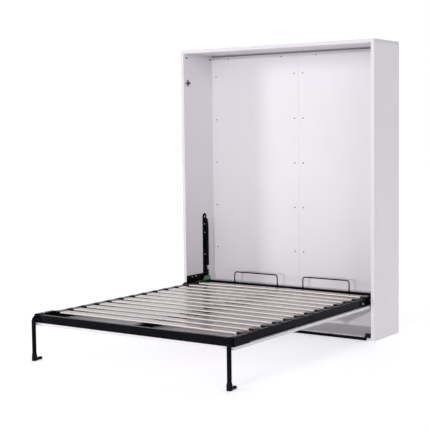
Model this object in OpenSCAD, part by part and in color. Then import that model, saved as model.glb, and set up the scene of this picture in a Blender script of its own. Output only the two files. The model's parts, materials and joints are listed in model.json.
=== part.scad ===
// Murphy wall bed: open white cabinet, folding steel bed frame with slats,
// front panel under the frame, gas struts at the sides and two folding legs.
// Units are millimetres. Inside this file Y is measured from the cabinet's
// front plane towards the wall; place() moves it to the cabinet's middle.

/* [Cabinet] */
// Width over the side panels
cab_w = 1640; // [1640:1:1700]
// Height over the top panel
cab_h = 2088; // [2088:1:2200]
// Depth from the front plane to the wall
cab_d = 394; // [394:1:420]
// Thickness of the side, top and base boards
board = 25; // [25:1:25]
// Thickness of the two back panels
back_t = 8; // [8:0.5:10]
// Thickness of the cleats and rail behind the back panels
cleat_t = 7; // [6:0.5:7]

/* [Bed frame] */
// Outer width of the steel frame
frame_w = 1530; // [1500:1:1530]
// Width of every box rail
rail_w = 30; // [28:1:32]
// Height of every box rail
rail_h = 51; // [51:1:51]
// Wall thickness of the box rails
rail_wall = 2; // [1.5:0.5:3]
// Height of the rails' upper face above the floor
rail_top = 298; // [298:1:298]
// Front face of the foot rail, in front of the cabinet
foot_face_y = -1682; // [-1700:1:-1680]
// Rear face of the head rail, inside the cabinet
head_face_y = 250; // [240:1:252]

/* [Slats] */
// Number of slats
slat_n = 13; // [13:1:13]
// Distance from slat to slat
slat_pitch = 130; // [126:1:130]
// Front edge of the slat nearest the foot
slat_first_y = -1530; // [-1530:1:-1520]
// Width of a slat
slat_w = 62; // [50:1:65]
// Thickness of a slat
slat_t = 10; // [8:0.5:12]
// Length of a slat
slat_l = 1410; // [1400:1:1420]
// Rise of a slat's middle above its ends
slat_crown = 3; // [2:0.5:4]

/* [Front panel] */
// Width of the panel, both halves together
door_w = 1570; // [1560:1:1572]
// Thickness of the panel
door_t = 18; // [16:1:19]
// Edge of the panel at the foot of the bed
door_foot_y = -1688; // [-1688:1:-1684]
// Edge of the panel at the head of the bed
door_head_y = 280; // [270:1:280]

/* [Legs] */
// Distance of a leg's centre line from the middle of the bed
leg_x = 765; // [765:1:765]
// Leg's centre line, in front of the foot rail
leg_y = -1709; // [-1710:1:-1708]
// Outer radius of the leg tube
leg_r = 14; // [13:0.5:14]
// Height of the leg's pivot arm above the floor
leg_pivot_z = 284; // [283:0.5:284]
// Radius of the bend between leg and arm
leg_bend = 30; // [30:1:34]

/* [Lift mechanism] */
// Main pivot, distance behind the front plane
pivot_y = 52.5; // [52.5:0.5:52.5]
// Main pivot, height above the floor
pivot_z = 281.5; // [281.5:0.5:281.5]
// Radius of the main pivot pin
pin_r = 8; // [7:0.5:9]
// Upper strut pin, distance behind the front plane
strut_top_y = 268; // [266:1:268]
// Upper strut pin, height above the floor
strut_top_z = 766; // [764:1:766]
// Lower strut pin, distance behind the front plane
strut_low_y = 268; // [266:1:268]
// Lower strut pin, height above the floor
strut_low_z = 316; // [315:1:317]
// Outer diameter of the strut's cylinder
strut_d = 18; // [16:0.5:18]
// Diameter of the strut's rod
strut_rod_d = 9; // [8:0.5:10]

/* [Hidden] */
SIDES = [-1, 1];

// Name of a slat's node, numbered from the foot
function slat_name(i) = str("slat_", i < 10 ? "0" : "", i);

// Smooth circles
$fn = 48;
// Overlap that makes a cut clean
cut = 1;
// Cabinet's inner half width and inner top
in_x = cab_w / 2 - board;
in_top = cab_h - board;
// Front face of the back panels
back_y = cab_d - cleat_t - back_t;
// Frame heights and half width
rail_out = frame_w / 2;
rail_in = rail_out - rail_w;
rail_low = rail_top - rail_h;
door_top = rail_low;
door_low = door_top - door_t;
// Steel plate on the bed side and on the cabinet side
arm_t = 4;
plate_t = 3;
plate_x = in_x - plate_t;
bolt_rise = 1.5;
// Strut's centre line, between the arm and the fixed plate
strut_x = rail_out + arm_t + 1.3 + strut_d / 2;
// Slat's underside at its ends and the beam under the slats
slat_low = rail_top - 7;
beam_w = 40;
beam_top = slat_low - 1;
// Leg bracket: box section in line with each side rail
bracket_w = 38;
bracket_back_y = -1520;
bracket_top = rail_top + 5;
bracket_wall = 3;
bush_len = 24;
bush_clear = 0.06;
// Catch: height and distance behind the front plane
catch_z = 1841;
catch_y = 52;
catch_boss_r = 9;
plunger_r = 5;
plunger_tip_x = in_x - 20;
// Width of the upright cleats
cleat_w = 90;
// Striker: where the catch meets the side rail once the bed has turned upright
strike_y = pivot_y + pivot_z - catch_z;
strike_z = pivot_z + catch_y - pivot_y;
// Row positions of the back panel screws
screw_low_z = 546;
screw_pitch_z = 338.3;
screw_rows = 5;
// Distances of the screw columns from the middle
screw_columns = [in_x - 38, 37];
// Wall anchor holes
anchor_z = in_top - 33;
// Slot between the back panels and the top panel
back_gap = 13;
anchor_xs = [152, 636];
anchor_r = 5;
// Pillow stops: bent round bar
stop_r = 4.5;
stop_in_x = 108;
stop_out_x = 505;
stop_top_z = 376;
stop_y = head_face_y - rail_w / 2;
stop_bend = 20;

white = [0.93, 0.92, 0.94];
black = [0.09, 0.10, 0.12];
steel = [0.75, 0.76, 0.78];
green = [0.25, 0.58, 0.32];
cream = [0.90, 0.86, 0.80];

// Moves the object so that its origin is under the cabinet's middle
module place() translate([0, -cab_d / 2, 0]) children();

// Box between two corners
module block(low, high) translate(low) cube(high - low);

// Box given for the right side, mirrored to the left when side is -1
module side_block(side, low, high)
    mirror([side < 0 ? 1 : 0, 0, 0]) block(low, high);

// Children drawn on the right side, mirrored when side is -1
module on_side(side) mirror([side < 0 ? 1 : 0, 0, 0]) children();

// Round bar along X from x0 to x1
module bar_x(x0, x1, y, z, r)
    translate([x0, y, z]) rotate([0, 90, 0]) cylinder(h = x1 - x0, r = r);

// Round bar along Y from y0 to y1
module bar_y(y0, y1, x, z, r)
    translate([x, y0, z]) rotate([-90, 0, 0]) cylinder(h = y1 - y0, r = r);

// Round bar along Z from z0 to z1
module bar_z(z0, z1, x, y, r)
    translate([x, y, z0]) cylinder(h = z1 - z0, r = r);

// Flat plate standing in the YZ plane, outline given as [y, z] points
module plate_yz(x0, x1, points)
    translate([x0, 0, 0]) rotate([90, 0, 90])
        linear_extrude(x1 - x0) polygon(points);

// Hollow rail along Y
module tube_y(x0, x1, y0, y1, z0, z1, wall)
    difference() {
        block([x0, y0, z0], [x1, y1, z1]);
        block([x0 + wall, y0 - cut, z0 + wall], [x1 - wall, y1 + cut, z1 - wall]);
    }

// Hollow rail along X
module tube_x(x0, x1, y0, y1, z0, z1, wall)
    difference() {
        block([x0, y0, z0], [x1, y1, z1]);
        block([x0 - cut, y0 + wall, z0 + wall], [x1 + cut, y1 - wall, z1 - wall]);
    }

// ---- Cabinet ----

// Side panel, standing under the top panel
module side_panel(side)
    color(white) side_block(side, [in_x, 0, 0], [cab_w / 2, cab_d, in_top]);

module top_panel()
    color(white) block([-cab_w / 2, 0, in_top], [cab_w / 2, cab_d, cab_h]);

// Base board, behind the floor bar
module base_panel()
    color(white) block([-in_x, 20, 0], [in_x, back_y, board]);

// Half of the back, with its two wall anchor holes
module back_panel(side)
    color(white) on_side(side) difference() {
        block([0.5, back_y, 0], [in_x, back_y + back_t, in_top - back_gap]);
        for (x = anchor_xs)
            bar_y(back_y - cut, cab_d + cut, x, anchor_z, anchor_r);
    }

// Three upright cleats behind the back panels
module back_cleats()
    color(white) for (x = [-in_x + cleat_w / 2, 0, in_x - cleat_w / 2])
        block([x - cleat_w / 2, back_y + back_t, 0], [x + cleat_w / 2, cab_d, in_top - 80]);

// Rail behind the top of the back, screwed to the wall
module wall_rail()
    color(white) difference() {
        block([-in_x, back_y + back_t, in_top - 80], [in_x, cab_d, in_top]);
        for (side = SIDES, x = anchor_xs)
            bar_y(back_y, cab_d + cut, side * x, anchor_z, anchor_r);
    }

// Screws that hold the back panels to the cleats
module back_panel_screws()
    color(steel) for (side = SIDES, x = screw_columns, row = [0:screw_rows - 1])
        translate([side * x, 0, screw_low_z + row * screw_pitch_z]) {
            bar_y(back_y - 1, back_y, 0, 0, 5);
            bar_y(back_y, back_y + 13, 0, 0, 1.75);
        }

// Cam locks that pull the side panels to the top and the base
module cam_locks()
    color(steel) for (side = SIDES, y = [41, 350], z = [in_top - 29, board + 29])
        on_side(side) bar_x(in_x - 0.8, in_x + 11, y, z, 8.5);

// Square steel bar on the floor between the side panels
module floor_crossbar()
    color(black) block([-753, 0, 0], [753, 20, 20]);

// Plastic stops over the ends of the floor bar
module floor_stops()
    color(black) for (side = SIDES)
        on_side(side) difference() {
            block([745, 0, 20], [in_x, 20, 50]);
            block([745 - cut, -cut, 32], [783, 12, 51]);
        }

// Cross-shaped plate of the closing catch, with the plunger's socket
module catch_plates()
    color(steel) for (side = SIDES) on_side(side) difference() {
        union() {
            block([in_x - 4, catch_y - 30, catch_z - 8], [in_x, catch_y + 30, catch_z + 8]);
            block([in_x - 4, catch_y - 9, catch_z - 25], [in_x, catch_y + 9, catch_z + 25]);
            bar_x(in_x - 14, in_x, catch_y, catch_z, catch_boss_r);
        }
        bar_x(in_x - 15, in_x + cut, catch_y, catch_z, plunger_r + 0.1);
    }

// Screws of both catch plates
module catch_screws()
    color(steel) for (side = SIDES, dy = [-22, 22])
        on_side(side) {
            bar_x(in_x - 5.5, in_x - 4, catch_y + dy, catch_z, 4);
            bar_x(in_x - 4, in_x + 12, catch_y + dy, catch_z, 1.75);
        }

// Sprung plunger with a round nose
module catch_plunger(side)
    color(black) on_side(side) {
        bar_x(plunger_tip_x + plunger_r, in_x - 5, catch_y, catch_z, plunger_r);
        translate([plunger_tip_x + plunger_r, catch_y, catch_z])
            rotate([0, -90, 0]) rotate_extrude() intersection() {
                circle(r = plunger_r);
                square(plunger_r);
            }
    }

// ---- Lift mechanism on the cabinet ----

strip_y0 = 222;
strip_y1 = 275;
strip_mid = (strip_y0 + strip_y1) / 2;
strip_r = (strip_y1 - strip_y0) / 2;
strip_top = 824;
foot_low = 294;
foot_high = 350;
ear_y = strut_top_y + 14;
bolt_spots = [[strip_mid, 797], [strip_mid, 736], [strip_mid, 669], [strip_mid, 497],
              [71, 335], [121, 335]];

// Fixed L-shaped plate: upright strip, foot with the main pivot, strut ear
module mount_plate(side)
    color(black) on_side(side) {
        plate_yz(plate_x, in_x, [
            [2, foot_low], [20, foot_low], [20, 258], [94, 258], [94, foot_low],
            [strip_y1, foot_low], [strip_y1, strut_top_z - 16], [ear_y, strut_top_z - 9],
            [ear_y, strut_top_z + 9], [strip_y1, strut_top_z + 16],
            [strip_y1, strip_top - strip_r], [strip_y0, strip_top - strip_r],
            [strip_y0, foot_high], [2, foot_high]]);
        difference() {
            bar_x(plate_x, in_x, strip_mid, strip_top - strip_r, strip_r);
            block([plate_x - cut, strip_y0 - cut, strip_top - 2 * strip_r - cut],
                  [in_x + cut, strip_y1 + cut, strip_top - strip_r]);
        }
    }

// Bolts that hold both fixed plates to the side panels
module mount_plate_bolts()
    color(steel) for (side = SIDES, p = bolt_spots)
        on_side(side) {
            bar_x(plate_x - bolt_rise, plate_x, p[0], p[1], 6.5);
            bar_x(plate_x, in_x + 18, p[0], p[1], 3);
        }

// Main pivot pins with a spacer collar, and the studs of the struts' upper ends
module mount_pins()
    color(steel) for (side = SIDES)
        on_side(side) {
            bar_x(rail_out + 0.4, plate_x, pivot_y, pivot_z, pin_r);
            bar_x(rail_out + arm_t + 0.5, rail_out + arm_t + 4.5, pivot_y, pivot_z, 13);
            bar_x(strut_x - 8, plate_x, strut_top_y, strut_top_z, stud_r);
            bar_x(strut_x - 9.5, strut_x - 8, strut_top_y, strut_top_z, 8);
        }

// ---- Gas struts ----

// Angle of the strut from upright and its length from pin to pin at rest
strut_lean = atan((strut_top_y - strut_low_y) / (strut_top_z - strut_low_z));
strut_len = norm([strut_top_y - strut_low_y, strut_top_z - strut_low_z]);
cyl_end = 358;
fitting_r = 7;
fitting_top = 61;
eye_r = 11;
eye_half = 5;
low_eye_half = 7.5;
stud_r = 5;
stud_clear = 0.08;

// Puts a strut drawn hanging down from the origin on its upper pin
module hang_strut(side)
    on_side(side) translate([strut_x, strut_top_y, strut_top_z])
        rotate([-strut_lean, 0, 0]) children();

// Pressure cylinder with its upper eye
module strut_cylinder(side)
    color(black) hang_strut(side) difference() {
        union() {
            bar_z(-cyl_end, -24, 0, 0, strut_d / 2);
            bar_z(-25, -5, 0, 0, 6);
            bar_x(-eye_half, eye_half, 0, 0, eye_r);
        }
        bar_z(-cyl_end - cut, -30, 0, 0, strut_rod_d / 2 + stud_clear);
        bar_x(-eye_half - cut, eye_half + cut, 0, 0, stud_r + stud_clear);
    }

// Polished rod with its lower end fitting and ball stud head
module strut_rod(side)
    color(steel) hang_strut(side) {
        bar_z(-strut_len + 4, -34, 0, 0, strut_rod_d / 2);
        bar_z(-strut_len + 9, -strut_len + fitting_top, 0, 0, fitting_r);
        bar_x(-low_eye_half, low_eye_half, 0, -strut_len, eye_r);
        bar_x(low_eye_half, low_eye_half + 1.5, 0, -strut_len, stud_r);
    }

// ---- Bed frame ----

module side_rail(side)
    color(black) on_side(side)
        tube_y(rail_in, rail_out, bracket_back_y, head_face_y, rail_low, rail_top, rail_wall);

bracket_in = leg_x - bracket_w / 2;
bracket_out = leg_x + bracket_w / 2;

module foot_rail()
    color(black) tube_x(-bracket_in, bracket_in, foot_face_y, foot_face_y + rail_w,
                        rail_low, rail_top, rail_wall);

module head_rail()
    color(black) tube_x(-rail_in, rail_in, head_face_y - rail_w, head_face_y,
                        rail_low, rail_top, rail_wall);

module centre_beam()
    color(black) tube_y(-beam_w / 2, beam_w / 2, foot_face_y + rail_w, head_face_y - rail_w,
                        beam_top - 36, beam_top, rail_wall);

// Steel plate on the outside of the side rail that turns on the main pin
module hinge_arms()
    color(black) for (side = SIDES) on_side(side) difference() {
        plate_yz(rail_out, rail_out + arm_t, [
            [-105, 252], [-105, 292], [-70, 309], [110, 309], [110, 252]]);
        bar_x(rail_out - cut, rail_out + arm_t + cut, pivot_y, pivot_z, pin_r + 0.06);
    }

// Lever at the head end of the rail that the strut pushes on
module lift_arms()
    color(green) for (side = SIDES) on_side(side) {
        plate_yz(rail_out, rail_out + arm_t, [
            [112, 254], [112, 296], [190, 298], [202, 324], [214, 329],
            [strut_low_y + 2, strut_low_z + 12], [strut_low_y + 11, strut_low_z + 7],
            [strut_low_y + 13, strut_low_z - 3], [292, 290], [286, 266], [240, 254]]);
        bar_x(rail_out + arm_t, strut_x - low_eye_half - 0.5, strut_low_y, strut_low_z, 6);
    }

arm_bolt_spots = [[-65, 269], [92, 268], [92, 296], [130, 275], [205, 275]];

// Bolts of the hinge plates and levers, and the bolt over each leg's arm
module arm_bolts()
    color(steel) for (side = SIDES) on_side(side) {
        for (p = arm_bolt_spots)
            bar_x(rail_out + arm_t, rail_out + arm_t + 1, p[0], p[1], 6);
        bar_z(bracket_top, bracket_top + 3, leg_x - 12, foot_face_y + 57, 5.5);
    }

// Steel box at each foot corner, in line with the side rail
module leg_brackets()
    color(black) for (side = SIDES) on_side(side)
        tube_y(bracket_in, bracket_out, foot_face_y, bracket_back_y,
               rail_low, bracket_top, bracket_wall);

// Plastic blocks inside the boxes; the leg's arm turns in their bores
module leg_bushes()
    color(black) for (side = SIDES, y = [foot_face_y + 10, bracket_back_y - bush_len - 16])
        on_side(side) difference() {
            block([bracket_in + bracket_wall, y, rail_low + bracket_wall],
                  [bracket_out - bracket_wall, y + bush_len, bracket_top - bracket_wall]);
            bar_y(y - cut, y + bush_len + cut, leg_x, leg_pivot_z, leg_r + bush_clear);
        }

// Plastic pads on the side rails that the closing catch snaps onto
module catch_strikers()
    color(black) for (side = SIDES) on_side(side) difference() {
        block([rail_out, strike_y - 12, strike_z - 13],
              [plunger_tip_x - 1, strike_y + 12, strike_z + 13]);
        translate([plunger_tip_x + 2, strike_y, strike_z]) sphere(r = 7);
    }

// ---- Slats ----

// Height of a slat's curve above its ends at a fraction of its half length
function crown(f) = slat_crown * (1 - f * f);

slat_steps = 8;
slat_outline = concat(
    [for (i = [-slat_steps:slat_steps])
        [i / slat_steps * slat_l / 2, slat_low + crown(i / slat_steps)]],
    [for (i = [slat_steps:-1:-slat_steps])
        [i / slat_steps * slat_l / 2, slat_low + slat_t + crown(i / slat_steps)]]);

function slat_y(i) = slat_first_y + (i - 1) * slat_pitch;

// One bowed slat, numbered from the foot
module slat(i)
    color(cream) translate([0, slat_y(i) + slat_w, 0]) rotate([90, 0, 0])
        linear_extrude(slat_w) polygon(slat_outline);

holder_in = slat_l / 2 - 8;
holder_low = slat_low - 3;
holder_top = slat_low + slat_t + 2.5;

// Plastic caps that carry one end of every slat beside the rail
module slat_holders()
    color(black) for (side = SIDES, i = [1:slat_n])
        on_side(side) difference() {
            union() {
                block([holder_in, slat_y(i) - 3, holder_low],
                      [rail_in, slat_y(i) + slat_w + 3, holder_top]);
                block([rail_in - 3, slat_y(i) + 14, rail_top],
                      [rail_in + 22, slat_y(i) + slat_w - 14, rail_top + 2.5]);
            }
            block([holder_in - cut, slat_y(i), slat_low],
                  [slat_l / 2 + 0.3, slat_y(i) + slat_w, slat_low + slat_t + 0.5]);
        }

// ---- Pillow stops ----

// Bent bar over the head rail, with a flange at each foot
module pillow_stop(side)
    color(black) on_side(side) {
        for (x = [stop_in_x + stop_r, stop_out_x - stop_r]) {
            bar_z(rail_top, stop_top_z - stop_bend, x, stop_y, stop_r);
            bar_z(rail_top, rail_top + 3, x, stop_y, 9);
        }
        bar_x(stop_in_x + stop_r + stop_bend, stop_out_x - stop_r - stop_bend,
              stop_y, stop_top_z, stop_r);
        translate([stop_out_x - stop_r - stop_bend, stop_y, stop_top_z - stop_bend])
            rotate([90, 0, 0]) rotate_extrude(angle = 90)
                translate([stop_bend, 0]) circle(r = stop_r);
        translate([stop_in_x + stop_r + stop_bend, stop_y, stop_top_z - stop_bend])
            rotate([90, 0, 0]) rotate([0, 0, 90]) rotate_extrude(angle = 90)
                translate([stop_bend, 0]) circle(r = stop_r);
    }

// ---- Front panel under the frame ----

module door_panel(side)
    color(white) on_side(side)
        block([0.5, door_foot_y, door_low], [door_w / 2, door_head_y, door_top]);

tab_ys = [-1450, -1060, -670, -280, 110];
seam_ys = [-1500, -900, -300, 150];

// Steel tabs on the rails and plates over the seam that hold the front panel
module door_tabs()
    color(black) {
        for (side = SIDES, y = tab_ys)
            side_block(side, [rail_in - 26, y - 20, door_top], [rail_in, y + 20, door_top + 3]);
        for (y = seam_ys)
            block([-60, y - 20, door_top], [60, y + 20, door_top + 3]);
    }

// Screws through the tabs and seam plates into the front panel
module door_screws()
    color(steel) {
        for (side = SIDES, y = tab_ys, dy = [-12, 12])
            on_side(side) door_screw(rail_in - 13, y + dy);
        for (side = SIDES, y = seam_ys)
            on_side(side) door_screw(42, y);
    }

module door_screw(x, y) {
    bar_z(door_top + 3, door_top + 5, x, y, 4.5);
    bar_z(door_top - 12, door_top + 3, x, y, 1.75);
}

// ---- Legs ----

boot_top = 48;
boot_waist = 36;
boot_r = 18;
boot_neck_r = 16.5;
boot_floor = 10;
toe_end = 58;
toe_r = 11;
toe_h = 20;
tube_wall = 2;

// Leg's centre line swept with radius r: upright, bend and pivot arm
module leg_bar(r, extra) {
    bar_z(boot_floor - extra, leg_pivot_z - leg_bend, leg_x, leg_y, r);
    translate([leg_x, leg_y + leg_bend, leg_pivot_z - leg_bend])
        rotate([90, 0, -90]) rotate_extrude(angle = 90)
            translate([leg_bend, 0]) circle(r = r);
    bar_y(leg_y + leg_bend, bracket_back_y - 12 + extra, leg_x, leg_pivot_z, r);
}

// Bent steel tube: the leg and the arm that it folds on
module leg_tube(side)
    color(black) on_side(side) difference() {
        leg_bar(leg_r, 0);
        leg_bar(leg_r - tube_wall, cut);
    }

// Moulded boot with a toe that points under the bed
module leg_foot(side)
    color(black) on_side(side) difference() {
        union() {
            bar_z(0, boot_waist, leg_x, leg_y, boot_r);
            translate([leg_x, leg_y, boot_waist])
                cylinder(h = boot_top - boot_waist, r1 = boot_r, r2 = boot_neck_r);
            block([leg_x - toe_r, leg_y, 0], [leg_x + toe_r, leg_y + toe_end, toe_h]);
            bar_z(0, toe_h, leg_x, leg_y + toe_end, toe_r);
        }
        bar_z(boot_floor, boot_top + cut, leg_x, leg_y, leg_r + 0.05);
    }

// ---- Which node is drawn ----

place() side_panel(-1);  // side_panel_left
place() side_panel(1);  // side_panel_right
place() top_panel();
place() base_panel();
place() back_panel(-1);  // back_panel_left
place() back_panel(1);  // back_panel_right
place() back_cleats();
place() wall_rail();
place() back_panel_screws();
place() cam_locks();
place() floor_crossbar();
place() floor_stops();
place() catch_plates();
place() catch_screws();
place() catch_plunger(-1);  // catch_plunger_left
place() catch_plunger(1);  // catch_plunger_right
place() mount_plate(-1);  // mount_plate_left
place() mount_plate(1);  // mount_plate_right
place() mount_plate_bolts();
place() mount_pins();
place() strut_cylinder(-1);  // strut_cylinder_left
place() strut_cylinder(1);  // strut_cylinder_right
place() strut_rod(-1);  // strut_rod_left
place() strut_rod(1);  // strut_rod_right
place() side_rail(-1);  // side_rail_left
place() side_rail(1);  // side_rail_right
place() foot_rail();
place() head_rail();
place() centre_beam();
place() hinge_arms();
place() lift_arms();
place() arm_bolts();
place() catch_strikers();
place() slat_holders();
place() pillow_stop(-1);  // pillow_stop_left
place() pillow_stop(1);  // pillow_stop_right
place() door_panel(-1);  // door_panel_left
place() door_panel(1);  // door_panel_right
place() door_tabs();
place() door_screws();
place() leg_brackets();
place() leg_bushes();
place() leg_tube(-1);  // leg_tube_left
place() leg_tube(1);  // leg_tube_right
place() leg_foot(-1);  // leg_foot_left
place() leg_foot(1);  // leg_foot_right
for (i = [1:slat_n]) place() slat(i);
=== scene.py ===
import json
import math
import random

import bmesh
import bpy
import numpy as np
from mathutils import Matrix, Vector


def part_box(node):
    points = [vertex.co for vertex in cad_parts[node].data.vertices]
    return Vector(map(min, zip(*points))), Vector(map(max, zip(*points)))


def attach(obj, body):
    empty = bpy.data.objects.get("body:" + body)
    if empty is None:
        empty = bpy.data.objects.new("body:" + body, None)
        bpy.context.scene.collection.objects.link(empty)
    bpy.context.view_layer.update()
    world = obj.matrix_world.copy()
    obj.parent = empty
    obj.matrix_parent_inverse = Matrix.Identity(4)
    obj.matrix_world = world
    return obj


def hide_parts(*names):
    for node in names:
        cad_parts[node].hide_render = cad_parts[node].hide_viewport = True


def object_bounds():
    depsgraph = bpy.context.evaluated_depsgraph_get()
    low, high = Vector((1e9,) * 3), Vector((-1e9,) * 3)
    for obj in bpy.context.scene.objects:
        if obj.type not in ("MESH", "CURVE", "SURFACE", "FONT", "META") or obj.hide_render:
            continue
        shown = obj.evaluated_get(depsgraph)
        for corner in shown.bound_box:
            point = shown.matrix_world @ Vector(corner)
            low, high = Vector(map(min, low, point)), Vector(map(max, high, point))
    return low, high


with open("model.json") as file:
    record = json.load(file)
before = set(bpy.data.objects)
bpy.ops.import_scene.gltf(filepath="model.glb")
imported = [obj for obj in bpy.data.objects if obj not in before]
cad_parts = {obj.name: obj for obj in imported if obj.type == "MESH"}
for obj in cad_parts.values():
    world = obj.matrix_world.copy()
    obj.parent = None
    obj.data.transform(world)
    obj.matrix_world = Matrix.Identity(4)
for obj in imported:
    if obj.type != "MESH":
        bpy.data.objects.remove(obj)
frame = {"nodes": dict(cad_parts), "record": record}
cad_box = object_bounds()
random.seed(12)

MM = 0.001
SIDES = {"left": -1, "right": 1}
SAME_POINT = 0.01 * MM


# ---- Camera ----

CAMERA_AT = (4.176, -6.900, 1.479)
CAMERA_TURN = (35.0, 4.495, -0.69)
LENS, SENSOR = 90.46, 36


def camera():
    """Long lens, to the right of the bed and a little above its middle. CAMERA_TURN
    is its turn to the left, its tilt down and its roll, in degrees."""
    yaw, pitch, roll = (math.radians(angle) for angle in CAMERA_TURN)
    ahead = Vector((-math.sin(yaw) * math.cos(pitch), math.cos(yaw) * math.cos(pitch),
                    -math.sin(pitch)))
    level = Vector((math.cos(yaw), math.sin(yaw), 0))
    above = level.cross(ahead)
    right = level * math.cos(roll) + above * math.sin(roll)
    up = above * math.cos(roll) - level * math.sin(roll)
    cam = bpy.data.objects.new("camera", bpy.data.cameras.new("camera"))
    cam.data.lens = LENS
    cam.data.sensor_width = SENSOR
    turn = Matrix((right, up, -ahead)).transposed().to_4x4()
    cam.matrix_world = Matrix.Translation(CAMERA_AT) @ turn
    bpy.context.scene.collection.objects.link(cam)
    bpy.context.scene.camera = cam


# ---- Materials ----

class Shade:
    """A Principled material with short ways to add noise, colour ramps and bumps."""

    def __init__(self, name, colour, rough, metallic=0.0, coat=0.0, specular=0.5):
        self.mat = bpy.data.materials.new(name)
        self.mat.use_nodes = True
        self.tree = self.mat.node_tree
        self.bsdf = self.tree.nodes["Principled BSDF"]
        self.bsdf.inputs["Base Color"].default_value = (*colour, 1)
        self.bsdf.inputs["Roughness"].default_value = rough
        self.bsdf.inputs["Metallic"].default_value = metallic
        self.bsdf.inputs["Coat Weight"].default_value = coat
        self.bsdf.inputs["Specular IOR Level"].default_value = specular
        self.place = self.tree.nodes.new("ShaderNodeTexCoord").outputs["Object"]

    def node(self, kind, **inputs):
        made = self.tree.nodes.new(kind)
        for key, value in inputs.items():
            made.inputs[key].default_value = value
        return made

    def link(self, a, b):
        self.tree.links.new(a, b)

    def stretched(self, scale):
        mapping = self.node("ShaderNodeMapping", Scale=scale)
        self.link(self.place, mapping.inputs["Vector"])
        return mapping.outputs["Vector"]

    def noise(self, scale, detail=4.0, stretch=(1, 1, 1), rough=0.55):
        made = self.node("ShaderNodeTexNoise", Scale=scale, Detail=detail, Roughness=rough)
        self.link(self.stretched(stretch), made.inputs["Vector"])
        return made.outputs["Fac"]

    def ramp(self, source, stops):
        made = self.tree.nodes.new("ShaderNodeValToRGB")
        while len(made.color_ramp.elements) < len(stops):
            made.color_ramp.elements.new(0.5)
        for element, (at, colour) in zip(made.color_ramp.elements, stops):
            element.position = at
            grey = not hasattr(colour, "__len__")
            element.color = (colour, colour, colour, 1) if grey else (*colour, 1)
        self.link(source, made.inputs["Fac"])
        return made.outputs["Color"]

    def mix(self, fac, a, b, kind="MIX"):
        made = self.tree.nodes.new("ShaderNodeMix")
        made.data_type = "RGBA"
        made.blend_type = kind
        for value, name in ((fac, 0), (a, 6), (b, 7)):
            socket = made.inputs[name]
            if isinstance(value, bpy.types.NodeSocket):
                self.link(value, socket)
            else:
                socket.default_value = value if name == 0 else (*value, 1)
        return made.outputs[2]

    def colour(self, socket):
        self.link(socket, self.bsdf.inputs["Base Color"])

    def rough(self, source, low, high):
        made = self.node("ShaderNodeMapRange")
        made.inputs["From Min"].default_value = 0.3
        made.inputs["From Max"].default_value = 0.7
        made.inputs["To Min"].default_value = low
        made.inputs["To Max"].default_value = high
        self.link(source, made.inputs["Value"])
        self.link(made.outputs["Result"], self.bsdf.inputs["Roughness"])

    def bump(self, source, height, strength=0.5):
        made = self.node("ShaderNodeBump", Strength=strength, Distance=height)
        self.link(source, made.inputs["Height"])
        self.link(made.outputs["Normal"], self.bsdf.inputs["Normal"])


def laminate(name="white_laminate", dark=(0.708, 0.693, 0.723), light=(0.724, 0.709, 0.739)):
    """White melamine board: faint cloudiness and a fine pressed grain."""
    s = Shade(name, light, 0.42, coat=0.06, specular=0.35)
    cloud = s.noise(3.0, 5)
    s.colour(s.ramp(cloud, [(0.35, dark), (0.65, light)]))
    grain = s.noise(900.0, 2, (1, 1, 0.25))
    s.rough(s.noise(60.0, 3), 0.36, 0.48)
    s.bump(grain, 0.00008, 0.35)
    return s.mat


def bore_core_and_shade():
    """Bare board core inside the drilled holes, painted near black: the board's own colour with
    painted shade deep in the bores.
    """
    s = Shade("bore_core_and_shade", (0.06, 0.045, 0.035), 0.85, specular=0.1)
    chips = s.noise(500.0, 5)
    # Painted shade: this near-black ramp, darker than bare board, stands for the shade inside the
    # bores.
    s.colour(s.ramp(chips, [(0.35, (0.010, 0.006, 0.005)), (0.7, (0.028, 0.018, 0.013))]))
    s.bump(s.noise(900.0, 3), 0.0003, 0.8)
    return s.mat


def powder_coat():
    """Black powder coat over steel: fine orange peel, a trace of dust."""
    s = Shade("black_steel", (0.004, 0.005, 0.006), 0.26, specular=0.04)
    dust = s.noise(14.0, 6)
    s.colour(s.ramp(dust, [(0.38, (0.0018, 0.0022, 0.0034)), (0.72, (0.0045, 0.0052, 0.0070))]))
    s.rough(s.noise(45.0, 4), 0.17, 0.32)
    s.bump(s.noise(1400.0, 2), 0.00010, 0.4)
    return s.mat


def zinc(name="zinc_steel", dark=(0.55, 0.56, 0.60), light=(0.70, 0.70, 0.69)):
    """Zinc plate, slightly clouded."""
    s = Shade(name, light, 0.28, metallic=1.0)
    cloud = s.noise(70.0, 5)
    s.colour(s.ramp(cloud, [(0.35, dark), (0.65, light)]))
    s.rough(s.noise(160.0, 3), 0.20, 0.38)
    s.bump(s.noise(2500.0, 2), 0.00004, 0.3)
    return s.mat


def polished_rod():
    """Hard chrome with a fine ground finish round the rod."""
    s = Shade("polished_rod", (0.72, 0.73, 0.75), 0.12, metallic=1.0)
    ground = s.noise(300.0, 2, (0.2, 0.2, 12))
    s.colour(s.ramp(ground, [(0.3, (0.66, 0.67, 0.70)), (0.7, (0.76, 0.76, 0.78))]))
    s.rough(ground, 0.08, 0.2)
    return s.mat


def green_paint():
    """Green gloss paint with slight clouding."""
    s = Shade("green_steel", (0.05, 0.25, 0.09), 0.34, coat=0.15, specular=0.35)
    cloud = s.noise(40.0, 5)
    s.colour(s.ramp(cloud, [(0.35, (0.035, 0.22, 0.075)), (0.68, (0.065, 0.29, 0.11))]))
    s.rough(s.noise(90.0, 3), 0.26, 0.42)
    s.bump(s.noise(1200.0, 2), 0.0001, 0.4)
    return s.mat


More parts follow.
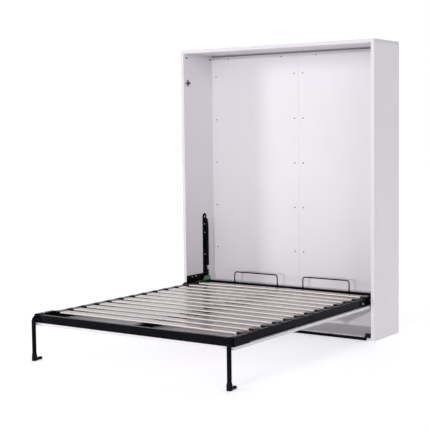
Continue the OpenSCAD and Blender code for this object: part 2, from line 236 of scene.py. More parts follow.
def moulded(name, dark, light, rough, specular=0.06):
    """Moulded plastic with a spark-eroded surface."""
    s = Shade(name, dark, rough, specular=specular)
    s.colour(s.ramp(s.noise(30.0, 5), [(0.35, dark), (0.7, light)]))
    s.rough(s.noise(120.0, 3), rough - 0.08, rough + 0.08)
    s.bump(s.noise(1800.0, 2), 0.00015, 0.5)
    return s.mat


def slat_wood():
    """Face veneers with long grain, painted a dark grey-mauve as shade on the slat tops; cream
    plies on the edges.
    """
    s = Shade("slat_wood", (0.42, 0.38, 0.40), 0.36, coat=0.9, specular=0.5)
    s.bsdf.inputs["Coat Roughness"].default_value = 0.16
    grain = s.noise(26.0, 8, (0.5, 9, 9), 0.62)
    pores = s.noise(240.0, 3, (0.12, 5, 5))
    # Painted shade: the dark grey-mauve face ramp, far darker than the plies, stands for the shade
    # on the slat tops; the grain streaks in it are real.
    face = s.ramp(grain, [(0.30, (0.150, 0.128, 0.142)), (0.50, (0.215, 0.183, 0.202)),
                          (0.72, (0.290, 0.252, 0.270))])
    face = s.mix(s.ramp(pores, [(0.30, 0.30), (0.42, 0.0)]), face, (0.16, 0.135, 0.14))
    ply = s.node("ShaderNodeAttribute")
    ply.attribute_name = "ply"
    light, glue = (0.97, 0.93, 0.85), (0.80, 0.70, 0.58)
    stops = [(0.0, (0.72, 0.63, 0.52))]
    for k in range(1, 5):
        stops += [(k / 5 - 0.06, light), (k / 5, glue), (k / 5 + 0.05, light)]
    edge = s.ramp(ply.outputs["Fac"], stops + [(1.0, (0.80, 0.73, 0.63))])
    edge = s.mix(s.ramp(s.noise(60.0, 5, (0.6, 3, 3)), [(0.4, 0.0), (0.75, 0.20)]), edge,
                 (0.78, 0.69, 0.57))
    side = s.node("ShaderNodeAttribute")
    side.attribute_name = "edge"
    s.colour(s.mix(side.outputs["Fac"], face, edge))
    s.rough(grain, 0.28, 0.44)
    s.bump(grain, 0.0003, 0.35)
    return s.mat


def floor_paint():
    """Pale studio floor, lifted a little so that it stays near white."""
    s = Shade("floor", (0.93, 0.93, 0.94), 0.6, specular=0.2)
    s.colour(s.ramp(s.noise(1.5, 3), [(0.3, (0.92, 0.92, 0.93)), (0.7, (0.94, 0.94, 0.95))]))
    s.bsdf.inputs["Emission Color"].default_value = (1, 1, 1, 1)
    s.bsdf.inputs["Emission Strength"].default_value = 0.40
    return s.mat


MATERIALS = {
    "white_laminate": laminate(),
    # Painted shade: a darker copy of the white laminate for the edge bands. It tones down the front
    # edges that face the lamps.
    "band_laminate_painted_shade": laminate("band_laminate_painted_shade", (0.632, 0.620, 0.645), (0.648, 0.636, 0.661)),
    # Painted shade: a darker copy of the white laminate for the front panel halves, which face the
    # lamps.
    "front_laminate": laminate("front_laminate", (0.612, 0.600, 0.625), (0.628, 0.616, 0.641)),
    "bore_core_and_shade": bore_core_and_shade(),
    # Painted shade: a grey copy of the white laminate for the wall rail's front. It stands for the
    # shade in the slot under the top panel.
    "rail_front_painted_shade": laminate("rail_front_painted_shade", (0.315, 0.300, 0.350), (0.335, 0.320, 0.370)),
    "black_steel": powder_coat(),
    "zinc_steel": zinc(),
    "dull_zinc": zinc("dull_zinc", (0.16, 0.155, 0.16), (0.30, 0.29, 0.29)),
    "bright_zinc": zinc("bright_zinc", (0.74, 0.75, 0.78), (0.86, 0.86, 0.87)),
    "dark_screw": moulded("dark_screw", (0.004, 0.003, 0.003), (0.012, 0.009, 0.008), 0.45),
    "cap_plastic": moulded("cap_plastic", (0.004, 0.0035, 0.0045), (0.009, 0.008, 0.010),
                           0.24, 0.45),
    "green_steel": green_paint(),
    "slat_wood": slat_wood(),
    "black_plastic": moulded("black_plastic", (0.0025, 0.0025, 0.0035), (0.006, 0.006, 0.008), 0.3),
    "stop_plastic": moulded("stop_plastic", (0.004, 0.012, 0.009), (0.008, 0.022, 0.016), 0.42),
    "polished_rod": polished_rod(),
}

NODE_SLOT = {row["node"]: row["material_slot"] for row in frame["record"]["subparts"]}
NODE_BODY = {n: b for b, ns in frame["record"]["behaviour"]["bodies"].items() for n in ns}


# ---- Mesh helpers ----

def add_piece(name, bm, node, material=None, stands_for=True, smooth=40):
    """Turns a bmesh into a piece that rides on the body of a CAD node and, if it
    stands for that node, replaces it."""
    mesh = bpy.data.meshes.new(name)
    bmesh.ops.recalc_face_normals(bm, faces=bm.faces)
    bm.to_mesh(mesh)
    bm.free()
    piece = bpy.data.objects.new(name, mesh)
    bpy.context.scene.collection.objects.link(piece)
    mesh.materials.append(MATERIALS[material or NODE_SLOT[node]])
    mesh.shade_smooth()
    mesh.set_sharp_from_angle(angle=math.radians(smooth))
    even = piece.modifiers.new("even_normals", "WEIGHTED_NORMAL")
    even.keep_sharp = True
    even.weight = 100
    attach(piece, NODE_BODY[node])
    if stands_for:
        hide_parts(node)
    return piece


def bevel(bm, width, segments=2, angle=30):
    """Rounds every outer edge sharper than angle."""
    edges = [e for e in bm.edges if len(e.link_faces) == 2
             and e.calc_face_angle(0) > math.radians(angle)]
    bmesh.ops.bevel(bm, geom=edges, offset=width, segments=segments, profile=0.5,
                    affect="EDGES", clamp_overlap=True)


def box_into(bm, low, high, radius, segments=2, material=0):
    """Adds a box with rounded edges."""
    part = bmesh.new()
    bmesh.ops.create_cube(part, size=1)
    size = Vector(high) - Vector(low)
    centre = (Vector(high) + Vector(low)) / 2
    bmesh.ops.scale(part, vec=size, verts=part.verts)
    bmesh.ops.translate(part, vec=centre, verts=part.verts)
    bevel(part, radius, segments)
    for face in part.faces:
        face.material_index = material
    merge(bm, part)


def merge(bm, part):
    """Moves every face of part into bm."""
    mesh = bpy.data.meshes.new("merge")
    part.to_mesh(mesh)
    part.free()
    bm.from_mesh(mesh)
    bpy.data.meshes.remove(mesh)


def islands(node):
    """Boxes of a CAD node's separate solids, as (lowest, highest) corners."""
    bm = bmesh.new()
    bm.from_mesh(frame["nodes"][node].data)
    bmesh.ops.remove_doubles(bm, verts=bm.verts, dist=SAME_POINT)
    left = set(bm.verts)
    found = []
    while left:
        stack = [left.pop()]
        group = list(stack)
        while stack:
            for edge in stack.pop().link_edges:
                for vert in edge.verts:
                    if vert in left:
                        left.discard(vert)
                        stack.append(vert)
                        group.append(vert)
        co = np.array([v.co for v in group])
        found.append((Vector(co.min(0)), Vector(co.max(0))))
    bm.free()
    return sorted(found, key=lambda b: tuple(round(c, 4) for c in b[0]))


def cad_copy(node, radius, segments=2, angle=30, material=None):
    """The CAD node's own shape with its edges rounded."""
    bm = bmesh.new()
    bm.from_mesh(frame["nodes"][node].data)
    bmesh.ops.remove_doubles(bm, verts=bm.verts, dist=SAME_POINT)
    bmesh.ops.dissolve_limit(bm, angle_limit=math.radians(1), verts=bm.verts, edges=bm.edges)
    bevel(bm, radius, segments, angle)
    return add_piece(node + "_shell", bm, node, material)


def rounded_profile(half_a, half_b, radius, steps=4):
    """Points of a rectangle with round corners, about the middle."""
    points = []
    for corner, (sa, sb) in enumerate(((1, 1), (-1, 1), (-1, -1), (1, -1))):
        for i in range(steps + 1):
            turn = math.radians(90 * (corner + i / steps))
            points.append((sa * (half_a - radius) + radius * math.cos(turn),
                           sb * (half_b - radius) + radius * math.sin(turn)))
    return points


def box_tube_into(bm, axis, low, high, wall, radius):
    """Adds a rectangular steel tube with round corners, open at both ends."""
    low, high = Vector(low), Vector(high)
    centre = (low + high) / 2
    half = (high - low) / 2
    run = "XYZ".index(axis)
    a, b = [i for i in range(3) if i != run]
    outer = rounded_profile(half[a], half[b], radius)
    inner = rounded_profile(half[a] - wall, half[b] - wall, max(radius - wall, 0.0008))
    rings = []
    for end in (-1, 1):
        for points in (outer, inner):
            ring = []
            for pa, pb in points:
                co = Vector(centre)
                co[run] += end * half[run]
                co[a] += pa
                co[b] += pb
                ring.append(bm.verts.new(co))
            rings.append(ring)
    near_out, near_in, far_out, far_in = rings
    count = len(outer)
    for i in range(count):
        j = (i + 1) % count
        bm.faces.new((near_out[i], near_out[j], far_out[j], far_out[i]))
        bm.faces.new((near_in[j], near_in[i], far_in[i], far_in[j]))
        bm.faces.new((near_in[i], near_in[j], near_out[j], near_out[i]))
        bm.faces.new((far_out[i], far_out[j], far_in[j], far_in[i]))


def skin(bm, rings, closed=False):
    """Joins each ring of vertices to the next one and, if closed, the last ring to
    the first."""
    count = len(rings[0])
    for one, two in zip(rings, rings[1:] + rings[:1] if closed else rings[1:]):
        for i in range(count):
            j = (i + 1) % count
            bm.faces.new((one[i], one[j], two[j], two[i]))


def skin_and_ends(bm, rings):
    """Joins the rings and closes the first and the last with a flat face."""
    skin(bm, rings)
    bm.faces.new(reversed(rings[0]))
    bm.faces.new(rings[-1])


def circle(origin, side, other, radius, segments):
    """Points of a circle in the plane of the unit vectors side and other."""
    return [origin + (side * math.cos(2 * math.pi * i / segments)
                      + other * math.sin(2 * math.pi * i / segments)) * radius
            for i in range(segments)]


def lathe_into(bm, profile, origin, axis, segments=32, shape=None):
    """Adds a closed turned solid. profile lists (distance along axis, radius);
    shape(radius, angle, k) may change the radius of profile point k."""
    origin, axis = Vector(origin), Vector(axis).normalized()
    side = axis.orthogonal().normalized()
    other = axis.cross(side)
    rings = []
    for k, (along, radius) in enumerate(profile):
        ring = []
        for i in range(segments):
            angle = 2 * math.pi * i / segments
            r = shape(radius, angle, k) if shape else radius
            ring.append(bm.verts.new(origin + axis * along
                                     + (side * math.cos(angle) + other * math.sin(angle)) * r))
        rings.append(ring)
    skin_and_ends(bm, rings)


def ring_into(bm, profile, origin, axis, segments):
    """Adds a turned ring: profile is a closed outline of (along, radius)."""
    origin, axis = Vector(origin), Vector(axis).normalized()
    side = axis.orthogonal().normalized()
    other = axis.cross(side)
    rings = []
    for along, radius in profile:
        points = circle(origin + axis * along, side, other, radius, segments)
        rings.append([bm.verts.new(co) for co in points])
    skin(bm, rings, closed=True)


def loft_into(bm, rings):
    """Adds a skin over rings of points, with flat ends."""
    skin_and_ends(bm, [[bm.verts.new(co) for co in ring] for ring in rings])


RIPPLE_STEP = 1.9


def pipe_into(bm, points, radius, segments=20, wobble=0.0):
    """Adds a round bar swept along points, closed at both ends. wobble is how far
    its radius ripples, as a share of it."""
    points = [Vector(p) for p in points]
    rings = []
    normal = None
    for k, point in enumerate(points):
        ahead = (points[min(k + 1, len(points) - 1)] - points[max(k - 1, 0)]).normalized()
        if normal is None:
            normal = ahead.orthogonal().normalized()
        normal = (normal - ahead * normal.dot(ahead)).normalized()
        other = ahead.cross(normal)
        r = radius * (1 + wobble * math.sin(k * RIPPLE_STEP))
        rings.append([bm.verts.new(co) for co in circle(point, normal, other, r, segments)])
    skin_and_ends(bm, rings)


def arc(centre, start, end, steps=12):
    """Points of a quarter turn about centre from start to end."""
    centre, start, end = Vector(centre), Vector(start), Vector(end)
    a, b = start - centre, end - centre
    return [centre + a * math.cos(math.pi / 2 * i / steps) + b * math.sin(math.pi / 2 * i / steps)
            for i in range(steps + 1)]


# ---- Fasteners ----

def recess(kind, size):
    """Radius of a driver recess at an angle: a hexagon or a cross."""
    def hexagon(angle):
        return size / math.cos((angle % (math.pi / 3)) - math.pi / 6)

    def cross(angle):
        tiny = 1e-6
        c, s = abs(math.cos(angle)) + tiny, abs(math.sin(angle)) + tiny
        arm = size * 0.26
        return max(min(arm / c, size / s), min(size / c, arm / s))

    return hexagon if kind == "hex" else cross


def screw_head_into(bm, centre, axis, radius, height, kind="cross"):
    """Adds a domed head that stands on centre and points along axis, with a recess."""
    size = radius * 0.5
    depth = height * 0.75
    skirt, crown, steps = 0.25, 0.62, 5
    hole = recess(kind, size)
    profile = [(0, radius), (height * skirt, radius)]
    for i in range(1, steps):
        turn = math.pi / 2 * i / steps
        profile.append((height * (skirt + (1 - skirt) * math.sin(turn)),
                        radius * (crown + (1 - crown) * math.cos(turn))))
    profile += [(height, radius * crown), (height, size), (height - depth, size * 0.85)]
    first_hole = len(profile) - 2

    def shape(r, angle, k):
        return r if k < first_hole else hole(angle) * r / size

    lathe_into(bm, profile, centre, axis, 48, shape)


def side_heads(piece, node, sunk, height, kind="cross", material=None):
    """Heads of a node's fasteners on the cabinet's sides. They point inward and
    start sunk below the innermost face of the CAD solid."""
    bm = bmesh.new()
    for low, high in islands(node):
        inward = -1 if high.x > 0 else 1
        inner = low.x if high.x > 0 else high.x
        centre = Vector((inner - inward * sunk, (low.y + high.y) / 2, (low.z + high.z) / 2))
        screw_head_into(bm, centre, (inward, 0, 0), (high.z - low.z) / 2, height, kind)
    add_piece(piece, bm, node, material)


# ---- Cabinet ----

BAND_T = 1.2 * MM
BANDS = {
    "side_panel_left": ["-Y"], "side_panel_right": ["-Y"], "top_panel": ["-Y", "-X", "+X"],
    "base_panel": ["-Y"], "back_cleats": [],
    "door_panel_left": ["-Y", "+Y", "-X"], "door_panel_right": ["-Y", "+Y", "+X"],
}


def board_into(bm, low, high, bands):
    """Adds a board with bevelled edges. bands lists the sides, such as -Y, that
    carry an edge band, which meets the board in a fine joint line."""
    low, high = Vector(low), Vector(high)
    for side in bands:
        axis = "XYZ".index(side[1])
        band_low, band_high = low.copy(), high.copy()
        if side[0] == "-":
            band_high[axis] = low[axis] + BAND_T
            low[axis] += BAND_T
        else:
            band_low[axis] = high[axis] - BAND_T
            high[axis] -= BAND_T
        box_into(bm, band_low, band_high, BAND_T * 0.4, 2, 1)
    box_into(bm, low, high, 0.25 * MM, 1)


def boards():
    """Boards of the cabinet, the cleats and the two halves of the front panel."""
    for node, bands in BANDS.items():
        bm = bmesh.new()
        for low, high in islands(node):
            board_into(bm, low, high, bands)
        # The front panel halves take the darker laminate copy, which is painted shade.
        face = "front_laminate" if node.startswith("door") else None
        board = add_piece(node + "_board", bm, node, face)
        # Edge bands take the darker copy of the laminate, which is painted shade.
        board.data.materials.append(MATERIALS["band_laminate_painted_shade"])


def drilled_boards():
    """Back panels and wall rail. Bare fibreboard shows inside their bores, painted near black
    with painted shade deep in the bores. The rail's front, seen in the slot over the
    back panels, is painted grey as the shade in that slot."""
    for node in ("back_panel_left", "back_panel_right", "wall_rail"):
        bm = bmesh.new()
        bm.from_mesh(frame["nodes"][node].data)
        bmesh.ops.remove_doubles(bm, verts=bm.verts, dist=SAME_POINT)
        low, high = (Vector(c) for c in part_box(node))
        for face in bm.faces:
            middle = face.calc_center_median()
            depth = min(min(abs(middle[i] - low[i]), abs(middle[i] - high[i])) for i in range(3))
            bore = abs(face.normal.y) < 0.5 and depth > 1 * MM
            # The wall rail's front faces get the grey painted shade of the slot.
            front = node == "wall_rail" and face.normal.y < -0.5
            face.material_index = 1 if bore else 2 if front else 0
        piece = add_piece(node + "_sheet", bm, node, smooth=30)
        piece.data.materials.append(MATERIALS["bore_core_and_shade"])
        piece.data.materials.append(MATERIALS["rail_front_painted_shade"])


def back_screws():
    """Cross-head screws, slightly sunk, in five rows down the back panels."""
    bm = bmesh.new()
    for low, high in islands("back_panel_screws"):
        radius = (high.x - low.x) / 2
        centre = Vector(((low.x + high.x) / 2, low.y + 1.0 * MM, (low.z + high.z) / 2))
        screw_head_into(bm, centre, (0, -1, 0), radius, 1.3 * MM)
    add_piece("back_panel_screw_heads", bm, "back_panel_screws", "dark_screw")


def cam_lock_faces():
    """Turned faces of the cam locks with their cross recess."""
    side_heads("cam_lock_faces", "cam_locks", 0.8 * MM, 0.9 * MM, material="dark_screw")


def floor_bar():
    """Square tube on the floor and the moulded stops over its ends."""
    bm = bmesh.new()
    low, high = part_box("floor_crossbar")
    box_tube_into(bm, "X", low, high, 1.5 * MM, 2.5 * MM)
    add_piece("floor_crossbar_tube", bm, "floor_crossbar")
    cad_copy("floor_stops", 1.2 * MM, 3, material="stop_plastic")


NOSE_STEPS = 8


def catches():
    """Cross plates, their screws and the sprung plungers."""
    cad_copy("catch_plates", 0.5 * MM, 2, material="dull_zinc")
    side_heads("catch_screw_heads", "catch_screws", 1.5 * MM, 1.9 * MM)
    for side, sign in SIDES.items():
        node = "catch_plunger_" + side
        low, high = (Vector(c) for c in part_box(node))
        radius = (high.z - low.z) / 2
        length = high.x - low.x
        tip = Vector((low.x if sign > 0 else high.x, (low.y + high.y) / 2, (low.z + high.z) / 2))
        profile = []
        for i in range(NOSE_STEPS + 1):
            turn = math.pi / 2 * i / NOSE_STEPS
            profile.append((radius * (1 - math.cos(turn)), radius * max(math.sin(turn), 0.04)))
        profile += [(length - 4 * MM, radius), (length - 3.4 * MM, radius * 0.9),
                    (length - 2.8 * MM, radius * 0.9), (length - 2.2 * MM, radius),
                    (length, radius * 0.97)]
        bm = bmesh.new()
        lathe_into(bm, profile, tip, (sign, 0, 0), 32)
        add_piece(node + "_nose", bm, node)


# ---- Lift mechanism ----

def mount_plates():
    """Plates on the cabinet's sides with their pins and hexagon-socket bolts."""
    for side in SIDES:
        cad_copy("mount_plate_" + side, 0.5 * MM, 2)
    cad_copy("mount_pins", 0.5 * MM, 2)
    side_heads("mount_plate_bolt_heads", "mount_plate_bolts", 1.5 * MM, 2.0 * MM, "hex")


EYE_R, EYE_BORE = 11 * MM, 5.1 * MM
ROD_R = 4.5 * MM


def eye_into(bm, centre, half, radius, bore):
    """Adds a turned eye along X with a bore and rounded rims."""
    rim = 0.8 * MM
    profile = [(-half, bore + rim), (-half, radius - rim), (-half + rim * 0.3, radius - rim * 0.3),
               (-half + rim, radius), (half - rim, radius), (half - rim * 0.3, radius - rim * 0.3),
               (half, radius - rim), (half, bore + rim), (half - rim, bore), (-half + rim, bore)]
    ring_into(bm, profile, centre, (1, 0, 0), 36)


def struts():
    """Gas struts: rolled cylinder, bright rod and black end fitting."""
    for side in SIDES:
        low, high = (Vector(c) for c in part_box("strut_cylinder_" + side))
        radius = (high.x - low.x) / 2
        top = Vector(((low.x + high.x) / 2, (low.y + high.y) / 2, high.z - EYE_R))
        length = top.z - low.z
        roll = 1.2 * MM
        profile = [(length, radius * 0.72), (length - 0.8 * MM, radius * 0.9),
                   (length - 3 * MM, radius), (length - 9 * MM, radius),
                   (length - 10 * MM, radius - roll), (length - 12 * MM, radius - roll),
                   (length - 13 * MM, radius), (30 * MM, radius), (27 * MM, radius * 0.97),
                   (24 * MM, radius * 0.8), (23.4 * MM, 6 * MM), (9 * MM, 6 * MM),
                   (8 * MM, 5 * MM)]
        bm = bmesh.new()
        lathe_into(bm, profile[::-1], top, (0, 0, -1), 40)
        eye_into(bm, top, 5 * MM, EYE_R, EYE_BORE)
        add_piece("strut_cylinder_%s_tube" % side, bm, "strut_cylinder_" + side)

        low, high = (Vector(c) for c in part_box("strut_rod_" + side))
        foot = Vector((top.x, top.y, low.z + EYE_R))
        reach = high.z - foot.z
        bm = bmesh.new()
        lathe_into(bm, [(40 * MM, 4.2 * MM), (41 * MM, ROD_R), (reach - 1 * MM, ROD_R),
                        (reach, 4.0 * MM)], foot, (0, 0, 1), 32)
        add_piece("strut_rod_%s_shaft" % side, bm, "strut_rod_" + side, "polished_rod")
        bm = bmesh.new()

        def flats(radius, angle, k):
            """Six flats round the fitting's thick middle, profile points 3 and 4."""
            return radius * (0.93 + 0.07 * abs(math.cos(3 * angle))) if k in (3, 4) else radius

        profile = [(8 * MM, 5.5 * MM), (9 * MM, 6.6 * MM), (30 * MM, 7 * MM), (31 * MM, 7 * MM),
                   (43 * MM, 7 * MM), (44 * MM, 6.6 * MM), (58 * MM, 6.4 * MM),
                   (61 * MM, 5.2 * MM)]
        lathe_into(bm, profile, foot, (0, 0, 1), 36, flats)
        eye_into(bm, foot, 7.3 * MM, EYE_R, EYE_BORE)
        add_piece("strut_rod_%s_fitting" % side, bm, "strut_rod_" + side, "black_plastic",
                  stands_for=False)


# ---- Bed frame ----

def weld_into(bm, start, end, radius=1.6 * MM):
    """Adds a rippled weld bead along a joint."""
    start, end = Vector(start), Vector(end)
    steps = max(6, int((end - start).length / (2.2 * MM)))
    points = [start.lerp(end, i / steps) for i in range(steps + 1)]
    pipe_into(bm, points, radius, 8, 0.16)


def rails():
    """Box rails of the bed frame with rolled corners and weld beads."""
    wall, corner = 2 * MM, 3.5 * MM
    for node, axis in (("side_rail_left", "Y"), ("side_rail_right", "Y"), ("foot_rail", "X"),
                       ("head_rail", "X"), ("centre_beam", "Y")):
        low, high = (Vector(c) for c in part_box(node))
        bm = bmesh.new()
        box_tube_into(bm, axis, low, high, wall, corner)
        if axis == "X":
            for x in (low.x, high.x):
                for y in (low.y, high.y):
                    weld_into(bm, (x, y, low.z + 4 * MM), (x, y, high.z - 4 * MM))
                weld_into(bm, (x, low.y + 4 * MM, high.z), (x, high.y - 4 * MM, high.z), 1.3 * MM)
        add_piece(node + "_tube", bm, node)


def brackets():
    """Corner boxes in line with the side rails, with their weld and bushes."""
    bm = bmesh.new()
    for low, high in islands("leg_brackets"):
        box_tube_into(bm, "Y", low, high, 3 * MM, 4.5 * MM)
        side = "right" if low.x > 0 else "left"
        rail_low, rail_high = (Vector(c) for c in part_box("side_rail_" + side))
        face = rail_high.x if side == "right" else rail_low.x
        weld_into(bm, (face, high.y, rail_low.z + 4 * MM),
                  (face, high.y, rail_high.z - 4 * MM), 2 * MM)
        weld_into(bm, (rail_low.x + 3 * MM, high.y, rail_high.z),
                  (rail_high.x - 3 * MM, high.y, rail_high.z), 2 * MM)
    add_piece("leg_bracket_boxes", bm, "leg_brackets")
    cad_copy("leg_bushes", 0.6 * MM, 2)


def arms():
    """Hinge plates, green levers and catch strikers, and the heads of their bolts:
    those through the levers stand upright and the others point outward."""
    cad_copy("hinge_arms", 0.9 * MM, 3)
    cad_copy("lift_arms", 1.2 * MM, 3)
    cad_copy("catch_strikers", 1.4 * MM, 3)
    bm = bmesh.new()
    for low, high in islands("arm_bolts"):
        size = high - low
        middle = (low + high) / 2
        if size.z < size.x:
            base, axis = (middle.x, middle.y, low.z), (0, 0, 1)
            screw_head_into(bm, base, axis, size.x / 2, 3.2 * MM, "hex")
        else:
            out = 1 if middle.x > 0 else -1
            base = (low.x if out > 0 else high.x, middle.y, middle.z)
            screw_head_into(bm, base, (out, 0, 0), size.y / 2, 1.1 * MM, "hex")
    add_piece("arm_bolt_heads", bm, "arm_bolts", "bright_zinc")


SLAT_CROWN = 3 * MM
SLATS = sorted(node for node in frame["nodes"] if node[:5] == "slat_" and node[5:].isdigit())


def slats():
    """Bowed veneer slats with rounded edges. The float attribute ply is the height
    in the thickness, and edge is 1 where the plies show."""
    radius, steps, stations = 1.4 * MM, 3, 28
    for node in SLATS:
        low, high = (Vector(c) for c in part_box(node))
        thick = high.z - low.z - SLAT_CROWN
        half_y, half_z = (high.y - low.y) / 2, thick / 2
        inner = half_y - radius
        profile = rounded_profile(half_y, half_z, radius, steps)
        twist = random.uniform(-0.5, 0.5) * MM
        lift = random.uniform(-0.4, 0.4) * MM
        bm = bmesh.new()
        ply = bm.verts.layers.float.new("ply")
        edge = bm.verts.layers.float.new("edge")
        rings = []
        for k in range(stations + 1):
            f = 2 * k / stations - 1
            x = f * (high.x - low.x) / 2
            bow = (SLAT_CROWN + lift) * (1 - f * f)
            ring = []
            for y, z in profile:
                vert = bm.verts.new((x, (low.y + high.y) / 2 + y,
                                     low.z + half_z + bow + z + twist * f * y / half_y))
                vert[ply] = (z + half_z) / thick
                vert[edge] = min(1.0, max(0.0, ((abs(y) - inner) / radius - 0.75) * 5))
                ring.append(vert)
            rings.append(ring)
        skin(bm, rings)
        for ring in (rings[0], rings[-1]):
            bm.faces.new(ring)
        add_piece(node + "_veneer", bm, node, smooth=50)


def slat_caps():
    """Moulded caps on the slat ends: domed body with a mouth for the slat, two
    ribs, and a tab that clips over the rail."""
    bm = bmesh.new()
    slat_low, slat_high = (Vector(c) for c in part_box("slat_01"))
    slat_half = (slat_high.y - slat_low.y) / 2
    for low, high in islands("slat_holders"):
        sign = 1 if low.x > 0 else -1
        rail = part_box("side_rail_" + ("right" if sign > 0 else "left"))
        rail_in = rail[0][0] if sign > 0 else -rail[1][0]
        rail_top = rail[1][2]
        inner = low.x if sign > 0 else -high.x
        outer_tab = high.x if sign > 0 else -low.x
        mid_y = (low.y + high.y) / 2
        half_y = (high.y - low.y) / 2
        half_z = (high.z - low.z) / 2
        mid_z = (high.z + low.z) / 2
        dome = 2.4 * MM

        def ring(x, inset, arch):
            points = []
            for y, z in rounded_profile(half_y - inset, half_z - inset, 3 * MM, 5):
                rise = arch * (1 - (y / half_y) ** 2) if z > 0 else 0
                points.append(Vector((sign * x, mid_y + y, mid_z + z + rise)))
            return points

        def mouth(x):
            return [Vector((sign * x, mid_y + y, mid_z - 0.6 * MM + z)) for y, z in
                    rounded_profile(slat_half + 0.4 * MM, half_z - 1.9 * MM, 1.5 * MM, 5)]

        wall_x = rail_in - 0.1 * MM
        rings = [mouth(inner + 6 * MM), mouth(inner + 0.4 * MM), ring(inner, 1.0 * MM, dome * 0.8),
                 ring(inner + 1.2 * MM, 0, dome), ring(inner + 10 * MM, 0, dome * 1.15),
                 ring(inner + 11 * MM, 0.8 * MM, dome * 1.15),
                 ring(inner + 13 * MM, 0.8 * MM, dome * 1.1), ring(inner + 14 * MM, 0, dome * 1.1),
                 ring(wall_x - 12 * MM, 0, dome * 0.8), ring(wall_x - 3 * MM, 0.6 * MM, dome * 0.4),
                 ring(wall_x, 2.4 * MM, 0)]
        loft_into(bm, rings)
        tab_half = 17 * MM
        ends = sorted((sign * (rail_in - 3 * MM), sign * outer_tab))
        box_into(bm, (ends[0], mid_y - tab_half, rail_top - 0.2 * MM),
                 (ends[1], mid_y + tab_half, rail_top + 2.5 * MM), 1.1 * MM, 3)
        for rib_y in (mid_y - 8 * MM, mid_y + 8 * MM):
            box_into(bm, (ends[0] + 3 * MM, rib_y - 1 * MM, rail_top + 2 * MM),
                     (ends[1] - 4 * MM, rib_y + 1 * MM, rail_top + 3.6 * MM), 0.6 * MM, 2)
    add_piece("slat_holder_caps", bm, "slat_holders", "cap_plastic")


def pillow_stops():
    """Bent round bars on welded flanges."""
    for side in SIDES:
        node = "pillow_stop_" + side
        low, high = (Vector(c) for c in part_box(node))
        radius, bend = 4.5 * MM, 20 * MM
        flange = 9 * MM
        y = (low.y + high.y) / 2
        x0, x1 = low.x + flange, high.x - flange
        top = high.z - radius
        points = [(x0, y, low.z + 1 * MM), (x0, y, (low.z + top) / 2)]
        points += arc((x0 + bend, y, top - bend), (x0, y, top - bend), (x0 + bend, y, top))
        points += [((x0 + x1) / 2, y, top)]
        points += arc((x1 - bend, y, top - bend), (x1 - bend, y, top), (x1, y, top - bend))
        points += [(x1, y, (low.z + top) / 2), (x1, y, low.z + 1 * MM)]
        bm = bmesh.new()
        pipe_into(bm, points, radius, 24)
        for x in (x0, x1):
            lathe_into(bm, [(0, flange - 0.6 * MM), (0.6 * MM, flange), (2.2 * MM, flange),
                            (3 * MM, flange - 0.9 * MM), (3.2 * MM, radius + 2 * MM),
                            (4.6 * MM, radius + 0.5 * MM), (5.4 * MM, radius)],
                       (x, y, low.z), (0, 0, 1), 36)
        add_piece(node + "_bar", bm, node)


# ---- Front panel fittings ----

def panel_fittings():
    """Tabs under the frame and the screws that hold the front panel to them."""
    cad_copy("door_tabs", 0.6 * MM, 2)
    bm = bmesh.new()
    for low, high in islands("door_screws"):
        centre = ((low.x + high.x) / 2, (low.y + high.y) / 2, high.z - 2 * MM)
        screw_head_into(bm, centre, (0, 0, 1), (high.x - low.x) / 2, 2.2 * MM)
    add_piece("door_screw_heads", bm, "door_screws")


# ---- Legs ----

def legs():
    """Bent tube legs in moulded boots with a toe."""
    for side in SIDES:
        low, high = (Vector(c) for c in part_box("leg_tube_" + side))
        radius = (high.x - low.x) / 2
        x = (low.x + high.x) / 2
        y = low.y + radius
        top = high.z - radius
        bend = 30 * MM
        points = [(x, y, low.z + 0.5 * MM), (x, y, (low.z + top) / 2)]
        points += arc((x, y + bend, top - bend), (x, y, top - bend), (x, y + bend, top), 16)
        points += [(x, (y + bend + high.y) / 2, top), (x, high.y - 0.5 * MM, top)]
        bm = bmesh.new()
        pipe_into(bm, points, radius, 32)
        add_piece("leg_tube_%s_bar" % side, bm, "leg_tube_" + side)
        boot(side, x, y)


def soft_corner(value):
    """A sine or cosine swollen towards the corners of its square."""
    return math.copysign(abs(value) ** 0.7, value)


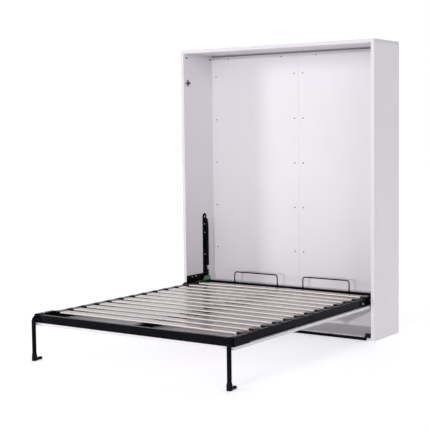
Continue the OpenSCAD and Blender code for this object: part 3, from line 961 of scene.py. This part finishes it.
def boot(side, x, y):
    """A turned, ribbed boot round the leg at x, y, and the toe behind it: a loft
    that falls from the boot, narrows, and rounds off at its end."""
    node = "leg_foot_" + side
    low, high = (Vector(c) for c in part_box(node))
    radius = y - low.y
    reach = high.y - y
    bm = bmesh.new()
    profile = [(0, radius - 2.6 * MM), (0.7 * MM, radius - 1.2 * MM), (2.4 * MM, radius - 0.2 * MM),
               (5 * MM, radius), (33 * MM, radius), (36 * MM, radius - 0.4 * MM),
               (39 * MM, radius - 1.6 * MM), (46 * MM, radius - 2.6 * MM),
               (47.5 * MM, radius - 3.0 * MM), (48 * MM, radius - 3.8 * MM)]

    def ribs(r, angle, k):
        return r - (0.35 * MM if 3 <= k <= 5 and math.cos(12 * angle) > 0.7 else 0)

    lathe_into(bm, profile, (x, y, 0), (0, 0, 1), 96, ribs)
    stations, points = 22, 28
    tip_half, tip_start = 11 * MM, 0.80
    rings = []
    for k in range(stations + 1):
        f = k / stations
        along = f * reach
        end = math.sqrt(max(0.02, 1 - max(0.0, (f - tip_start) / 0.20) ** 2))
        waist = 1.2 * MM * math.sin(math.pi * min(f, tip_start) / tip_start)
        half_w = (radius * 0.80 * (1 - f) + tip_half * f - waist) * end
        slope = 30 * MM * max(0.0, 1 - f / 0.42) ** 1.6
        swell = 5 * MM * math.sin(math.pi * min(1.0, f / 1.5)) ** 2
        height = (slope + 15 * MM + swell) * (0.35 + 0.65 * end)
        ring = []
        for i in range(points):
            t = 2 * math.pi * i / points
            ring.append(Vector((x + half_w * soft_corner(math.cos(t)), y + along,
                                height / 2 + height / 2 * soft_corner(math.sin(t)))))
        rings.append(ring)
    loft_into(bm, rings)
    add_piece(node + "_boot", bm, node, smooth=50)


camera()
boards()
drilled_boards()
back_screws()
cam_lock_faces()
floor_bar()
catches()
mount_plates()
struts()
rails()
brackets()
arms()
slats()
slat_caps()
pillow_stops()
panel_fittings()
legs()


# ---- Floor and light ----

FLOOR_HALF, FLOOR_DROP = 30, 0.0005
LAMP_FAR = 8
LAMP_COLOUR = (1.0, 0.96, 0.965)
# Sides of the studio that give less light: direction, where the fade starts and
# ends as a cosine, and the least light.
DIM_SIDES = (
    ((0.75, -0.66, 0.0), -0.2, 0.6, 0.34),
    ((0.80, 0.60, 0.0), 0.35, 0.9, 0.42),
    ((-0.995, -0.10, 0.0), 0.5, 0.95, 0.50),
    ((-0.72, -0.69, 0.0), 0.1, 0.8, 0.50),
    ((0.0, -0.30, 0.954), 0.2, 0.9, 0.70),
)


def studio_floor():
    """A wide floor just under the object."""
    bm = bmesh.new()
    bmesh.ops.create_grid(bm, x_segments=1, y_segments=1, size=FLOOR_HALF)
    mesh = bpy.data.meshes.new("floor")
    bm.to_mesh(mesh)
    bm.free()
    floor = bpy.data.objects.new("floor", mesh)
    bpy.context.scene.collection.objects.link(floor)
    mesh.materials.append(floor_paint())
    floor.location.z = cad_box[0][2] - FLOOR_DROP


def surroundings():
    """A white backdrop. The light it gives is dimmed from the DIM_SIDES."""
    world = bpy.data.worlds.new("studio")
    bpy.context.scene.world = world
    world.use_nodes = True
    nodes, links = world.node_tree.nodes, world.node_tree.links
    sky = nodes["Background"]
    sky.inputs["Color"].default_value = (1.0, 1.01, 1.05, 1)

    def combined(operation, one, two):
        made = nodes.new("ShaderNodeMath")
        made.operation = operation
        links.new(one, made.inputs[0])
        links.new(two, made.inputs[1])
        return made.outputs["Value"]

    place = nodes.new("ShaderNodeTexCoord").outputs["Generated"]
    level = None
    for direction, start, end, least in DIM_SIDES:
        toward = nodes.new("ShaderNodeVectorMath")
        toward.operation = "DOT_PRODUCT"
        toward.inputs[1].default_value = direction
        links.new(place, toward.inputs[0])
        fade = nodes.new("ShaderNodeMapRange")
        fade.inputs["From Min"].default_value = start
        fade.inputs["From Max"].default_value = end
        fade.inputs["To Min"].default_value = 1.0
        fade.inputs["To Max"].default_value = least
        links.new(toward.outputs["Value"], fade.inputs["Value"])
        faded = fade.outputs["Result"]
        level = faded if level is None else combined("MULTIPLY", level, faded)
    seen = nodes.new("ShaderNodeLightPath").outputs["Is Camera Ray"]
    links.new(combined("MAXIMUM", seen, level), sky.inputs["Strength"])


def far_light(name, azimuth, elevation, strength, spread):
    """Light from far away in front of the cabinet. azimuth is to the right of the
    cabinet's normal; all angles are in degrees."""
    light = bpy.data.lights.new(name, "SUN")
    light.energy = strength
    light.angle = math.radians(spread)
    light.color = LAMP_COLOUR
    lamp = bpy.data.objects.new(name, light)
    turn, rise = math.radians(azimuth), math.radians(elevation)
    source = Vector((math.sin(turn) * math.cos(rise), -math.cos(turn) * math.cos(rise),
                     math.sin(rise)))
    lamp.rotation_euler = (-source).to_track_quat("-Z", "Y").to_euler()
    lamp.location = source * LAMP_FAR
    bpy.context.scene.collection.objects.link(lamp)


studio_floor()
surroundings()
far_light("key", 10, 5, 0.90, 0.8)
far_light("front", 4, 12, 0.22, 45)
far_light("left", -52, 9, 1.02, 12)
far_light("right", 52, 12, 0.72, 30)
far_light("top", -10, 62, 0.35, 40)
bpy.context.scene.view_settings.view_transform = "Standard"
